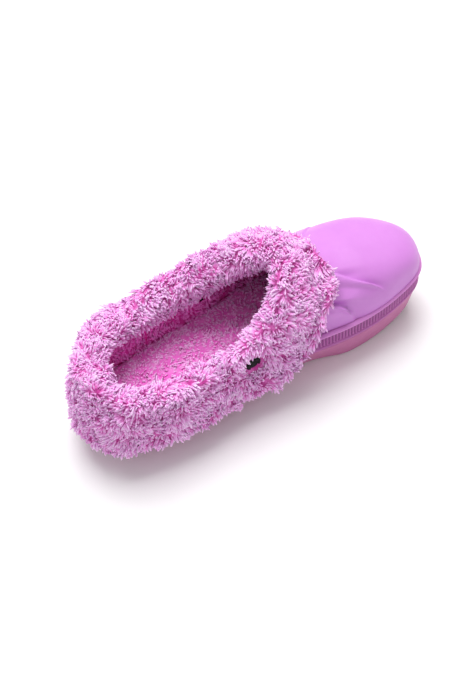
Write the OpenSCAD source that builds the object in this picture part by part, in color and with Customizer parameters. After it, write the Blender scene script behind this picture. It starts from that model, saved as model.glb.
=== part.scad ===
// Left rubber garden clog: moulded upper and sole, ribbed band, warm fleece
// liner with a deep turned-over cuff, and two push snaps that hold the liner in.
// Millimetres. The toe points along +X, the outer side of the foot is +Y, up is +Z.
// The origin is the middle of the sole, on the ground.

/* [Size] */
// Length of the clog over the band, heel to toe
clog_length = 278; // [250:2:300]
// Width of the band at the ball of the foot
ball_width = 93; // [86:1:100]
// Width of the band at the heel
heel_width = 77.5; // [72:0.5:84]

/* [Sole] */
// Thickness of the outsole under the foot
sole_height = 26; // [20:1:30]
// Height of the ribbed band
band_height = 18; // [14:1:20]
// How far the sole's foot print steps in from the band
sole_taper = 7; // [4:0.5:9]
// How far the tip of the toe lifts off the ground
toe_spring = 6.5; // [3:0.5:9]
// Depth of the hollow on the inner side of the sole, under the arch
arch_depth = 6; // [3:0.5:8]
// Depth of the grooves in the tread
tread_depth = 2.5; // [1.5:0.5:4]

/* [Upper] */
// Wall of the moulded upper
shell_wall = 3.5; // [3:0.5:4]
// How far the band stands out as a ledge below the upper
band_ledge = 2.5; // [2:0.5:3.5]
// Extra height of the collar, added all round
collar_raise = 0; // [-3:1:5]

/* [Liner] */
// Thickness of the fleece on the walls
lining_wall = 6; // [5:0.5:7]
// Thickness of the foam insole board
board_thickness = 3; // [2:0.5:4]
// Thickness of the fleece footbed
footbed_thickness = 7; // [5:0.5:9]
// Thickness of the turned-over cuff at its fullest
cuff_thickness = 12.5; // [10:0.5:14]
// Height of the cuff's lower edge above the ground
hem_height = 10; // [8:1:14]

/* [Snaps] */
// Diameter of the snap's cap
cap_diameter = 12; // [10:1:13]
// Thickness of the snap's cap
cap_thickness = 3.6; // [3.2:0.2:5]
// Diameter of the post the cap snaps on
post_diameter = 4; // [3:0.5:5]

/* [Hidden] */

steps = 6;               // samples between two stations of the outline
count = 16 * steps;      // samples round the whole outline
gap = 0.3;               // glue line or loose contact between two pieces
band_top = sole_height + band_height;
band_wall = band_ledge + shell_wall;
lining_outside = shell_wall + gap;
lining_inside = lining_outside + lining_wall;
board_bottom = sole_height + gap;
band_bead = 0.9;         // how far the band's top bead stands out
band_rib = 0.4;          // how far the ribbed zone lies behind the band's lower lip
drape_room = 3.9;        // air between the upper and the flap of the cuff
drape_out = 2;           // how far the flap hangs outside the band
footbed_edge = 2;        // rounding at the footbed's upper edge
board_top = board_bottom + board_thickness;
floor_level = board_top + gap;
length_scale = clog_length / 278;
front_scale = ball_width / 93;
rear_scale = heel_width / 77.5;

// The sixteen stations go from the back of the heel along the outer side to
// the toe and back along the inner side. Each is: outline x and y, collar
// x, y and z, rise of the upper above the band, fall of the upper at the collar.
drawn = [
    [0, 0, 7, 0, 68, 12, 6],
    [16, 30, 16, 21, 65, 11, 6],
    [58, 39.5, 42, 34, 60, 8, 6],
    [105, 42, 78, 37, 59, 8, 6],
    [150, 47.5, 113, 36, 63, 12, 9],
    [190, 46, 137, 30, 73, 19, 14],
    [228, 36, 153, 21, 83, 25, 20],
    [258, 21, 163, 11, 89, 28, 24],
    [276, -8, 166, -2, 91, 29, 25],
    [266, -36, 162, -13, 89, 28, 24],
    [236, -46, 151, -22, 83, 25, 20],
    [196, -47, 135, -30, 73, 19, 14],
    [150, -40.5, 111, -34.5, 63, 12, 9],
    [105, -37, 78, -35, 59, 8, 6],
    [58, -38, 42, -32.5, 60, 8, 6],
    [16, -29, 16, -20.5, 65, 11, 6]];

// Where the cuff's edge ends below each station of the collar: the station of
// the outline it reaches, and how far down (1 collar, 0 band, -1 hem).
hems = [[0, -1], [1, -1], [1.95, -1], [2.9, -1], [3.9, -1], [4.3, 0], [5.1, 0.45], [6.4, 0.72],
    [8, 0.84], [9.6, 0.72], [10.9, 0.45], [11.75, 0], [12.1, -1], [13.1, -1], [14.05, -1],
    [15, -1]];

// Section of the roll over the collar, from the lining round to the outside:
// distance out from the upper, and distance beyond the collar's edge.
roll = [[-0.80, 0.03], [-1.02, 0.38], [-0.92, 0.80], [-0.52, 1.12], [0.02, 1.24], [0.56, 1.08],
    [0.92, 0.62]];
// Thickness of the turned-down flap, from the roll to the hem
flap = [1.05, 1.06, 0.98, 0.80, 0.76, 0.88, 0.92, 0.40];
flap_rows = len(flap);

// The snap's place: its station on the outline, and how far up the upper.
snap_height = 0.42;
snap_station = [3.36, 12.64];
cap_seat = 1.6;          // fleece left between the upper and the cap
post_clearance = 0.08;   // running clearance round the post
pocket = 2;              // room round the cap in the fleece
head_diameter = 10;
head_thickness = 1.2;
head_depth = shell_wall + gap + 1.5;   // how far inside the upper's face the head's pocket starts
post_hole = post_diameter + 0.4;       // loose hole for the post in soft pieces
cap_skin = 1;            // plastic left over the cap's blind hole
post_tip = 0.2;          // air between the post's tip and the end of that hole
cap_bevel = 1;           // height and width of the cap's slanted rim
through = 60;            // length of a cutter that goes right through

function unit(v) = v / norm(v);
function blend(a, b, t) = a * (1 - t) + b * t;
function clamp(t) = min(max(t, 0), 1);
function ease(t) = clamp(t) * clamp(t) * (3 - 2 * clamp(t));

// Smooth closed curve through a list of values, station u
function curve(list, u) = let(
        n = len(list), i = floor(u), t = u - i,
        a = list[(i + n - 1) % n], b = list[(i + n) % n],
        c = list[(i + n + 1) % n], d = list[(i + n + 2) % n])
    0.5 * (2 * b + (c - a) * t + (2 * a - 5 * b + 4 * c - d) * t * t
        + (3 * b - a - 3 * c + d) * t * t * t);

// A drawn station in real size: the length and the two widths scale apart
function width_scale(x) = blend(rear_scale, front_scale, ease((x - 90) / 70));
function sized(s) = [s[0] * length_scale, s[1] * width_scale(s[0]),
    s[2] * length_scale, s[3] * width_scale(s[2]),
    s[4] - 44 + band_top + collar_raise, s[5], s[6]];
stations = [for (s = drawn) sized(s)];
function station(u) = curve(stations, u);

function outline(u) = let(s = station(u)) [s[0], s[1]];
function inward(u) = let(d = outline(u + 0.02) - outline(u - 0.02)) unit([d[1], -d[0]]);
function spring(x) = toe_spring * ease((x / length_scale - 200) / 85);

// A point of the outline moved inwards and set to a height, with the toe's lift
function edge(u, inset, z) = let(p = outline(u) + inset * inward(u)) [p[0], p[1], z + spring(p[0])];

// Outer surface of the upper: s runs from the band (0) up to the collar (1)
function upper(u, s) = let(
        v = station(u), n = inward(u),
        foot = edge(u, band_ledge, band_top + gap),
        top = [v[2], v[3], v[4]],
        rise = foot + [0.5 * n[0], 0.5 * n[1], v[5]],
        reach = 0.4 + 0.2 * ease((v[0] / length_scale - 120) / 100),
        near_top = [blend(top[0], foot[0], reach), blend(top[1], foot[1], reach), top[2] - v[6]])
    pow(1 - s, 3) * foot + 3 * pow(1 - s, 2) * s * rise
        + 3 * (1 - s) * s * s * near_top + pow(s, 3) * top;

function up_along(u, s) = unit(upper(u, s + 0.01) - upper(u, s - 0.01));
function into(u, s) = unit(cross(upper(u + 0.02, s) - upper(u - 0.02, s), up_along(u, s)));

// The upper's surface moved inwards, with its foot kept level for the band
function layer(u, s, depth) = let(p = upper(u, s) + depth * into(u, s))
    s > 0 ? p : [p[0], p[1], band_top + gap + spring(p[0])];

// The inside face of the cuff's flap: over the upper, then past the band's edge
function on_upper(s) = s > -0.001;
function drape(u, s) = on_upper(s)
    ? upper(u, s) - (2 * gap + drape_room * ease((0.5 - s) / 0.35)) * into(u, s)
    : let(p = outline(u) - drape_out * inward(u), foot = band_top + gap,
            z = foot + s * (foot - hem_height))
        [p[0], p[1], z + spring(p[0]) * (1 + s)];
function out_of(u, s) = on_upper(s) ? -into(u, s) : let(n = inward(u)) [-n[0], -n[1], 0];
function hem(u) = let(h = curve([for (i = [0:15]) [hems[i][0] - i, hems[i][1]]], u))
    [u + h[0], h[1]];
function flap_place(u, w) = let(h = hem(u)) [blend(u, h[0], w), blend(1, max(h[1], -1), w)];

// Closed solid from section loops: each loop runs up its outside, down its inside
module skin(loops, closed = false) {
    m = len(loops[0]);
    n = len(loops);
    last = closed ? n : n - 1;
    sides = [for (i = [0:last - 1], j = [0:m - 1])
        let(a = i * m + j, b = i * m + (j + 1) % m,
            d = ((i + 1) % n) * m + j, c = ((i + 1) % n) * m + (j + 1) % m)
        each [[a, d, c], [a, c, b]]];
    ends = closed ? [] : [for (j = [0:m / 2 - 2])
        let(k = m - 1 - j, e = (n - 1) * m)
        each [[j, j + 1, k - 1], [j, k - 1, k],
            [e + j, e + k - 1, e + j + 1], [e + j, e + k, e + k - 1]]];
    polyhedron(points = [for (l = loops) each l], faces = concat(sides, ends), convexity = 8);
}

// Closed solid from rings stacked upwards, with level caps from side to side
module stack(rings) {
    n = len(rings[0]);
    k = len(rings) - 1;
    walls = [for (j = [0:k - 1], i = [0:n - 1])
        let(a = j * n + i, d = j * n + (i + 1) % n, b = a + n, c = d + n)
        each [[a, d, c], [a, c, b]]];
    caps = [for (i = [0:n / 2 - 1])
        let(l = i, m = i + 1, r = (n - i) % n, q = n - i - 1, t = k * n)
        each [if (l != r) [l, r, q], if (m != q) [l, q, m],
            if (l != r) [t + l, t + q, t + r], if (m != q) [t + l, t + m, t + q]]];
    polyhedron(points = [for (r = rings) each r], faces = concat(walls, caps), convexity = 6);
}

function round_samples() = [for (i = [0:count - 1]) i / steps];
function part_samples(from, to) = let(n = round((to - from) * steps))
    [for (i = [0:n]) blend(from, to, i / n)];
function plate(inset, z) = [for (u = round_samples()) edge(u, inset, z)];

// Hollow under the arch on the inner side, fading to nothing fore and aft
function arch(u) = arch_depth * (ease((u - 10.9) / 0.8) - ease((u - 12.2) / 1.0));
function sole_ring(inset, z) = [for (u = round_samples())
    edge(u, inset + arch(u) * (1 - z / sole_height), z)];

// Grooves across the tread, at the heel and at the ball of the foot
groove_pitch = 13;
groove_width = 3;
heel_grooves = [22:groove_pitch:74];
ball_grooves = [160:groove_pitch:199];

// Rings of the sole's side: rounded at the ground, and a narrow step under the band
module outsole() color([0.71, 0.40, 0.60]) difference() {
    stack([sole_ring(sole_taper, 0), sole_ring(sole_taper - 1.8, 2),
        sole_ring(1.2, sole_height - 4), sole_ring(0.8, sole_height)]);
    for (x = heel_grooves) tread_groove(x);
    for (x = ball_grooves) tread_groove(x);
}

module tread_groove(x) {
    translate([x * length_scale, -ball_width, -tread_depth])
        cube([groove_width, 2 * ball_width, 2 * tread_depth]);
}

module foxing_band() color([0.64, 0.35, 0.56])
    skin([for (u = round_samples()) [
        edge(u, band_wall, sole_height + gap), edge(u, 0.9, sole_height + gap),
        edge(u, 0, sole_height + 3.5), edge(u, band_rib, sole_height + 4.5),
        edge(u, band_rib, band_top - 3), edge(u, -band_bead, band_top - 2),
        edge(u, -band_bead, band_top - 0.4), edge(u, -0.4, band_top), edge(u, band_wall, band_top),
        edge(u, band_wall, sole_height + band_height / 2)]], closed = true);

module upper_shell() color([0.85, 0.60, 0.88]) difference() {
    skin([for (u = round_samples()) concat(
        [for (j = [0:9]) layer(u, j / 9, 0)],
        [for (j = [9:-1:0]) layer(u, j / 9, shell_wall)])], closed = true);
    for (u = snap_station) snap_axis(u) cylinder(d = post_hole, h = through, center = true, $fn = 32);
}

module insole_board() color([0.80, 0.78, 0.80])
    stack([plate(band_wall + gap, board_bottom), plate(band_wall + gap, board_top)]);

module fleece_footbed() color([0.84, 0.46, 0.78])
    stack([plate(band_ledge + lining_inside + gap, floor_level),
        plate(band_ledge + lining_inside + gap, floor_level + footbed_thickness - footbed_edge),
        plate(band_ledge + lining_inside + gap + footbed_edge, floor_level + footbed_thickness)]);

// One face of the lining: down inside the band to the board, up to the collar
function lining_face(u, depth) = let(p = layer(u, 0, depth)) concat(
    [for (z = [floor_level, blend(floor_level, band_top, 0.6)]) [p[0], p[1], z + spring(p[0])]],
    [for (j = [0:8]) layer(u, j / 8, depth)]);

module lining(from, to) skin([for (u = part_samples(from, to))
    let(outside = lining_face(u, lining_outside), inside = lining_face(u, lining_inside))
    concat(outside, [for (j = [len(inside) - 1:-1:0]) inside[j]])]);

module lining_outer_side() color([0.80, 0.42, 0.72]) difference() {
    lining(0.015, 5);
    snap_axis(snap_station[0]) lining_pocket();
}

module lining_inner_side() color([0.80, 0.42, 0.72]) difference() {
    lining(11, 15.985);
    snap_axis(snap_station[1]) lining_pocket();
}

module toe_lining() color([0.60, 0.28, 0.52]) lining(5.02, 10.98);

// Room in the lining for the post's head, and the hole for the post
module lining_pocket() {
    translate([0, 0, -head_depth - through])
        cylinder(d = head_diameter + 1, h = through, $fn = 48);
    cylinder(d = post_hole, h = through, center = true, $fn = 32);
}

// The roll's section in the collar's own directions: out of the upper, beyond its edge
function on_roll(u, out, beyond) = upper(u, 1) - out * into(u, 1) + beyond * up_along(u, 1);
function cuff_inside(u) = let(n = len(roll)) concat(
    [for (j = [0:n - 1]) on_roll(u, blend(-shell_wall, 2 * gap, j / (n - 1)), 1.5 * gap)],
    [for (j = [1:flap_rows]) let(p = flap_place(u, j / flap_rows)) drape(p[0], p[1])]);
function cuff_outside(u) = concat(
    [for (r = roll) on_roll(u, r[0] * cuff_thickness, r[1] * cuff_thickness)],
    [for (j = [1:flap_rows]) let(p = flap_place(u, j / flap_rows))
        drape(p[0], p[1]) + flap[j - 1] * cuff_thickness * out_of(p[0], p[1])]);

module cuff(from, to) skin([for (u = part_samples(from, to))
    let(front = cuff_outside(u), back = cuff_inside(u))
    concat([for (j = [len(front) - 1:-1:0]) front[j]], back)]);

module cuff_outer_half() color([0.89, 0.67, 0.89]) difference() {
    cuff(0.02, 7.98);
    snap_axis(snap_station[0]) cuff_pocket();
}

module cuff_inner_half() color([0.89, 0.67, 0.89]) difference() {
    cuff(8.02, 15.98);
    snap_axis(snap_station[1]) cuff_pocket();
}

// Dimple where the cap pinches the fleece, and the hole for the post
module cuff_pocket() {
    translate([0, 0, cap_seat]) cylinder(d = cap_diameter + 2 * pocket, h = through, $fn = 48);
    cylinder(d = post_hole, h = through, center = true, $fn = 32);
}

// Moves a child's Z axis to the snap's place, pointing out through the upper
module snap_axis(u) {
    translate(upper(u, snap_height)) rotate([u < 8 ? -90 : 90, 0, 0]) children();
}

// Post with a flat head inside the lining and a blunt tip inside the cap
module snap_post() color([0.08, 0.07, 0.09]) {
    inside = head_depth + gap;
    tip = cap_seat + gap + cap_thickness - cap_skin - post_tip;
    translate([0, 0, -inside - head_thickness]) cylinder(d = head_diameter, h = head_thickness, $fn = 48);
    translate([0, 0, -inside - 0.1]) cylinder(d = post_diameter, h = inside + tip + 0.1, $fn = 32);
}

// Cap with a blind hole that grips the post
module snap_cap() color([0.08, 0.07, 0.09]) translate([0, 0, cap_seat + gap]) difference() {
    union() {
        cylinder(d = cap_diameter, h = cap_thickness - cap_bevel, $fn = 48);
        translate([0, 0, cap_thickness - cap_bevel])
            cylinder(d1 = cap_diameter, d2 = cap_diameter - 2 * cap_bevel, h = cap_bevel, $fn = 48);
    }
    translate([0, 0, cap_thickness - cap_skin - through])
        cylinder(d = post_diameter + 2 * post_clearance, h = through, $fn = 32);
}

module placed() translate([-clog_length / 2, 0, 0]) children();

placed() outsole();
placed() foxing_band();
placed() upper_shell();
placed() insole_board();
placed() fleece_footbed();
placed() lining_outer_side();
placed() lining_inner_side();
placed() toe_lining();
placed() cuff_outer_half();
placed() cuff_inner_half();
placed() snap_axis(snap_station[0]) snap_post();  // snap_post_outer
placed() snap_axis(snap_station[1]) snap_post();  // snap_post_inner
placed() snap_axis(snap_station[0]) snap_cap();  // snap_cap_outer
placed() snap_axis(snap_station[1]) snap_cap();  // snap_cap_inner
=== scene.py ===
# %% [markdown]
# # A fleece-lined garden clog
#
# A garden clog is a short list of soft things: a moulded rubber upper, a ribbed
# band glued round its foot, a thick sole, and a removable fleece liner whose
# cuff turns down over the collar. Two black push snaps keep the liner in.
#
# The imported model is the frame: it fixes where every piece is, and how big.
# This lesson gives those pieces their real surfaces. The rubber parts are
# formulas drawn on fine grids, and the fleece is a padded base planted with
# thousands of small curved locks.

import math

import bmesh
import bpy
import numpy as np
from mathutils import Matrix, Vector


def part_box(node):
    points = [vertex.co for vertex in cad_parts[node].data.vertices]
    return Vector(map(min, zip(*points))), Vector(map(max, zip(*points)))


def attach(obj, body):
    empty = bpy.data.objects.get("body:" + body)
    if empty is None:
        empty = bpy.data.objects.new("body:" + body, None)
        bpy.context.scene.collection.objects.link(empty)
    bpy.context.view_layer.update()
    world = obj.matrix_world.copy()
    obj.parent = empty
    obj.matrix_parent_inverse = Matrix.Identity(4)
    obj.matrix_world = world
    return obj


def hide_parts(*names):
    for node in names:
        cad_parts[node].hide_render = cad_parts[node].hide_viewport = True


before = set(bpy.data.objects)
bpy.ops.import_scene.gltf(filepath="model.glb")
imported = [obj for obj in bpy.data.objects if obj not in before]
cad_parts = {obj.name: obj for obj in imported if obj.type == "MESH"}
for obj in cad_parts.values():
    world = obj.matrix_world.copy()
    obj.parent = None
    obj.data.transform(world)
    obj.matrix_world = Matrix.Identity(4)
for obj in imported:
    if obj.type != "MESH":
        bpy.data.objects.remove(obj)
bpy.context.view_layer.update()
band_low, band_high = (np.array(corner) * 1000 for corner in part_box("foxing_band"))
print("the band is", np.round(band_high - band_low, 1), "mm long, wide and high")

# %% [markdown]
# ## The drawing
#
# A shoemaker draws a clog as an outline on the ground and a collar in the air,
# joined by ribs. Sixteen stations run from the back of the heel along the outer
# side to the toe, and home along the inner side. Each station holds the outline
# and the collar, and two numbers that bend the rib between them. A smooth
# closed curve through the stations gives every place in between, so a few round
# numbers carry the whole shape.

# %% The stations and the driving sizes, in millimetres from the back of the heel
MM = 0.001
STATIONS = np.array([  # outline x and y, collar x, y and z, then how far the rib rises and drops
    [0, 0, 7, 0, 68, 12, 6],
    [16, 30, 16, 21, 65, 11, 6],
    [58, 39.5, 42, 34, 60, 8, 6],
    [105, 42, 78, 37, 59, 8, 6],
    [150, 47.5, 113, 36, 63, 12, 9],
    [190, 46, 137, 30, 73, 19, 14],
    [228, 36, 153, 21, 83, 25, 20],
    [258, 21, 163, 11, 89, 28, 24],
    [276, -8, 166, -2, 91, 29, 25],
    [266, -36, 162, -13, 89, 28, 24],
    [236, -46, 151, -22, 83, 25, 20],
    [196, -47, 135, -30, 73, 19, 14],
    [150, -40.5, 111, -34.5, 63, 12, 9],
    [105, -37, 78, -35, 59, 8, 6],
    [58, -38, 42, -32.5, 60, 8, 6],
    [16, -29, 16, -20.5, 65, 11, 6],
])
AROUND = len(STATIONS)
BEAD = 0.9  # how far the band stands outside the outline
LEDGE = 2.5  # how far the upper's foot stands inside it
GAP = 0.3  # clearance between neighbours
WALL = 3.5  # thickness of the upper
LINING = 6  # thickness of the lining with its pile
TOE_LIFT = 6.5
HEM = 10  # lowest height of the cuff's edge
BAND_FOOT = band_low[2] - GAP
BAND_TOP = BAND_FOOT + 18
HEEL_X = band_low[0] + BEAD
print("the back of the heel is at x =", round(float(HEEL_X), 1), "mm")


def ease(t):
    """0 below 0, 1 above 1, and the S-curve 3t^2 - 2t^3 between them."""
    t = np.clip(t, 0, 1)
    return t * t * (3 - 2 * t)


def cubic(a, b, c, d, t):
    """The cubic t of the way from b to c that leaves each of them towards its neighbours."""
    return 0.5 * (2 * b + (c - a) * t + (2 * a - 5 * b + 4 * c - d) * t**2
                  + (3 * b - a - 3 * c + d) * t**3)


def curve(rows, u):
    """Smooth closed curve through the rows, read at station u."""
    i = np.floor(u).astype(int)
    a, b, c, d = (rows[(i + k) % len(rows)] for k in (-1, 0, 1, 2))
    return cubic(a, b, c, d, (u - i)[..., None])


def unit(v):
    """Each vector divided by its own length."""
    return v / np.maximum(np.linalg.norm(v, axis=-1, keepdims=True), 1e-9)


def outline(u):
    """The outline's x and y at station u."""
    return curve(STATIONS, u)[..., :2]


def inward(u):
    """The outline's direction turned a quarter turn, so that it points to the inside."""
    d = outline(u + 0.02) - outline(u - 0.02)
    return unit(np.stack([d[..., 1], -d[..., 0]], -1))


def lift(x):
    """How far the toe has risen off the ground at x: nothing up to the ball, then an S-curve."""
    return TOE_LIFT * ease((x - 200) / 85)


def edge(u, inset, z):
    """The outline moved inwards by inset, at height z, with the toe's lift."""
    p = outline(u) + np.asarray(inset)[..., None] * inward(u)
    return np.concatenate([p, (z + lift(p[..., 0]))[..., None]], -1)


def upper(u, s):
    """Outer face of the upper: a cubic rib from the band (s = 0) to the collar (s = 1)."""
    u, s = np.broadcast_arrays(u, s)
    v = curve(STATIONS, u)
    foot = edge(u, LEDGE, BAND_TOP + GAP)
    top = v[..., 2:5]
    rise = foot + np.concatenate([0.5 * inward(u), v[..., 5:6]], -1)
    reach = (0.4 + 0.2 * ease((v[..., 0] - 120) / 100))[..., None]
    level = top[..., :2] * (1 - reach) + foot[..., :2] * reach
    near = np.concatenate([level, top[..., 2:] - v[..., 6:7]], -1)
    s = s[..., None]
    return ((1 - s) ** 3 * foot + 3 * (1 - s) ** 2 * s * rise
            + 3 * (1 - s) * s**2 * near + s**3 * top)


def along_rib(u, s):
    """Direction up the rib."""
    return unit(upper(u, s + 0.01) - upper(u, s - 0.01))


def into(u, s):
    """Direction into the foot: across the rib and the outline."""
    return unit(np.cross(upper(u + 0.02, s) - upper(u - 0.02, s), along_rib(u, s)))


def grid(u, s):
    """Two rows of parameters spread into a grid, u down and s across."""
    return np.meshgrid(np.asarray(u, float), np.asarray(s, float), indexing="ij")


# %% [markdown]
# ## From grids to meshes
#
# A closed solid is drawn as loops: each loop goes up its outside and down its
# inside, and the next loop is one step further round the clog. Joining every
# point to the next one along and the next one over gives quads that all face
# outwards. Half a clog needs its two ends closed as well.

# %% Mesh helpers
def loop_faces(n, m, closed):
    """Quads of n loops of m points: (i, j), (i, j+1), (i+1, j+1), (i+1, j).

    An open stack gets end caps, which pair point j with point m-1-j.
    """
    i, j = np.meshgrid(np.arange(n if closed else n - 1), np.arange(m), indexing="ij")
    a, b = i * m + j, i * m + (j + 1) % m
    d, c = ((i + 1) % n) * m + j, ((i + 1) % n) * m + (j + 1) % m
    quads = np.stack([a, b, c, d], -1).reshape(-1, 4)
    if closed:
        return quads
    j = np.arange(m // 2 - 1)
    start = np.stack([j, m - 1 - j, m - 2 - j, j + 1], -1)
    end = np.stack([j, j + 1, m - 2 - j, m - 1 - j], -1) + (n - 1) * m
    return np.concatenate([quads, start, end])


def strip_of(faces, n, m, first, last):
    """The quads of an open stack of n loops that lie between two points of each loop."""
    return faces[: (n - 1) * m].reshape(n - 1, m, 4)[:, first:last].reshape(-1, 4)


def as_lists(faces):
    """Faces as plain lists, whether they come as an array or as lists."""
    return faces.tolist() if isinstance(faces, np.ndarray) else faces


def piece(name, points, faces, body, finish, replaces):
    """A mesh from points in drawing millimetres, placed in the frame and tied to its body."""
    mesh = bpy.data.meshes.new(name)
    placed = (np.asarray(points, float).reshape(-1, 3) + [HEEL_X, 0, 0]) * MM
    mesh.from_pydata(placed, [], as_lists(faces))
    mesh.validate()
    mesh.polygons.foreach_set("use_smooth", np.full(len(mesh.polygons), True))
    mesh.update()
    made = bpy.data.objects.new(name, mesh)
    bpy.context.scene.collection.objects.link(made)
    made.data.materials.append(finish)
    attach(made, body)
    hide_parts(*replaces)
    print(name, "has", len(mesh.polygons), "faces")
    return made


# %% [markdown]
# ## Finishes
#
# Every finish starts from one small helper that adds a shader node: an input
# given another node's output is linked, and any other value is typed in. Moulded
# rubber is even in colour, but never flat: the mould leaves a very fine grain,
# cooling leaves a slow drift in tone, and handling polishes some patches.

# %% The node helper, and what is made with it
def node(tree, kind, settings=None, **inputs):
    """Adds a node, sets its settings, and links or types in each input.

    An input is named with _ for a space, or numbered as i0, i1 and so on.
    """
    made = tree.nodes.new(kind)
    for key, value in (settings or {}).items():
        setattr(made, key, value)
    for key, value in inputs.items():
        numbered = key[0] == "i" and key[1:].isdigit()
        socket = made.inputs[int(key[1:]) if numbered else key.replace("_", " ")]
        if isinstance(value, bpy.types.NodeSocket):
            tree.links.new(value, socket)
        else:
            socket.default_value = value
    return made


def new_finish(name):
    """An empty material with its output node, as (material, tree, output)."""
    made = bpy.data.materials.new(name)
    made.use_nodes = True
    made.node_tree.nodes.clear()
    return made, made.node_tree, made.node_tree.nodes.new("ShaderNodeOutputMaterial")


def linear(red, green, blue):
    """A colour mixed on screen, from 0 to 255, as the shader's linear light."""
    c = np.array([red, green, blue]) / 255
    return tuple(np.where(c <= 0.04045, c / 12.92, ((c + 0.055) / 1.055) ** 2.4)) + (1.0,)


def mix_of(tree, share, one, other):
    """The two colours mixed by a share from 0 to 1."""
    return node(tree, "ShaderNodeMix", {"data_type": "RGBA"}, i0=share, i6=one, i7=other).outputs[2]


def remap(tree, value, low, high, to_low, to_high):
    """A value's range low..high stretched to another range."""
    return node(tree, "ShaderNodeMapRange", None, Value=value, From_Min=low, From_Max=high,
                To_Min=to_low, To_Max=to_high).outputs["Result"]


def noise(tree, place, scale, detail, roughness):
    """Cloudy noise between 0 and 1: the scale is in clouds per metre."""
    return node(tree, "ShaderNodeTexNoise", None, Vector=place, Scale=scale, Detail=detail,
                Roughness=roughness).outputs["Fac"]


def carried(tree, name):
    """A number that the mesh carries at each of its points."""
    return node(tree, "ShaderNodeAttribute", {"attribute_name": name}).outputs["Fac"]


# %% Moulded rubber
DUST = linear(214, 196, 206)


def moulded_rubber(name, colour, deep, shine, grain=1.0, dust=0.0, painted_groove_shade=None, painted_bead_highlight=None,
                   specular=0.42):
    """Satin moulded foam rubber: slow drift between two tones, polished patches, fine mould grain.

    A mesh that carries "groove" gets painted shade in grooves, above 0, and painted highlight
    below.
    """
    made, tree, out = new_finish(name)
    place = node(tree, "ShaderNodeTexCoord").outputs["Object"]
    tones = noise(tree, place, 22.0, 3.0, 0.55)
    cloud = noise(tree, place, 160.0, 4.0, 0.6)
    pores = noise(tree, place, 1500.0, 2.0, 0.5)
    tone = mix_of(tree, remap(tree, tones, 0.32, 0.68, 0.0, 0.55), colour, deep)
    tone = mix_of(tree, remap(tree, cloud, 0.45, 0.8, 0.0, 0.16), tone, deep)
    if dust:
        speck = noise(tree, place, 420.0, 5.0, 0.7)
        tone = mix_of(tree, remap(tree, speck, 0.56, 0.8, 0.0, dust), tone, DUST)
    # painted shade in the band's grooves, and a painted highlight on its bead, read from the groove
    # depth
    if painted_groove_shade:
        depth = carried(tree, "groove")
        tone = mix_of(tree, remap(tree, depth, 0.1, 0.9, 0.0, 0.75), tone, painted_groove_shade)
        tone = mix_of(tree, remap(tree, depth, -0.1, -0.9, 0.0, 0.85), tone, painted_bead_highlight)
    gloss = remap(tree, cloud, 0.3, 0.7, shine - 0.05, shine + 0.07)
    fine = node(tree, "ShaderNodeBump", None, Strength=0.22 * grain, Distance=0.0002,
                Height=pores).outputs[0]
    soft = node(tree, "ShaderNodeBump", None, Strength=0.25 * grain, Distance=0.0006,
                Height=cloud, Normal=fine).outputs[0]
    skin = node(tree, "ShaderNodeBsdfPrincipled", None, Base_Color=tone, Roughness=gloss,
                Normal=soft, Specular_IOR_Level=specular, Subsurface_Weight=0.06,
                Subsurface_Radius=(1.0, 0.5, 0.8), Subsurface_Scale=0.002)
    tree.links.new(skin.outputs[0], out.inputs["Surface"])
    return made


upper_finish = moulded_rubber("upper_rubber", linear(212, 138, 220), linear(198, 120, 206), 0.40)
# the band's colours include painted shade in its grooves and a painted highlight on its bead
band_finish = moulded_rubber("band_rubber", linear(190, 106, 178), linear(172, 88, 160), 0.46,
                             dust=0.10, painted_groove_shade=linear(132, 58, 124),
                             painted_bead_highlight=linear(222, 144, 218))
sole_finish = moulded_rubber("sole_rubber", linear(200, 116, 166), linear(184, 100, 152), 0.52,
                             grain=1.4, dust=0.18)
print("three rubber finishes are ready")

# %% [markdown]
# ## The upper
#
# The real upper is injection moulded in one shot, with two leaf-shaped flares
# swept back on each side of the toe. A flare rises slowly from the vamp and
# drops off sharply on its lower edge, so it reads as one layer laid over
# another. It could be sculpted, but a height added to the rib formula keeps it
# exact. Both sides are drawn from one table, and the outer side's flares are a
# quarter as deep. The wall is closed by running each loop back down the inside.

# %% Flares, and the upper's closed wall
HEMS = np.array([  # the cuff's edge for each station of the collar: a station, a place up the rib
    [0, -0.70], [1, -0.70], [1.95, -0.72], [2.9, -0.72],
    [3.75, -0.7], [4.15, 0.12], [5.05, 0.60], [6.4, 0.79],
    [8, 0.875], [9.6, 0.79], [10.95, 0.61], [11.75, 0.20],
    [12.45, -0.7], [13.1, -0.72], [14.05, -0.72], [15, -0.70]])
FLARES = (  # the ridge's stations and places up the rib, its rise, and the fall's depth and width
    (((8.95, 0.90), (9.25, 0.80), (9.88, 0.55), (10.06, 0.42), (10.17, 0.27)), 2.6, 2.4, 0.12),
    (((10.40, 0.85), (10.62, 0.65), (10.78, 0.48), (10.90, 0.33), (10.97, 0.21)), 3.0, 3.4, 0.30),
)
OUTER_FLARES = 0.25  # depth of the outer side's flares, as a share of the inner side's
FLARE_STEP, FLARE_SLOPE = 0.045, 0.10  # widths of the step and of the slope, up the rib


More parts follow.
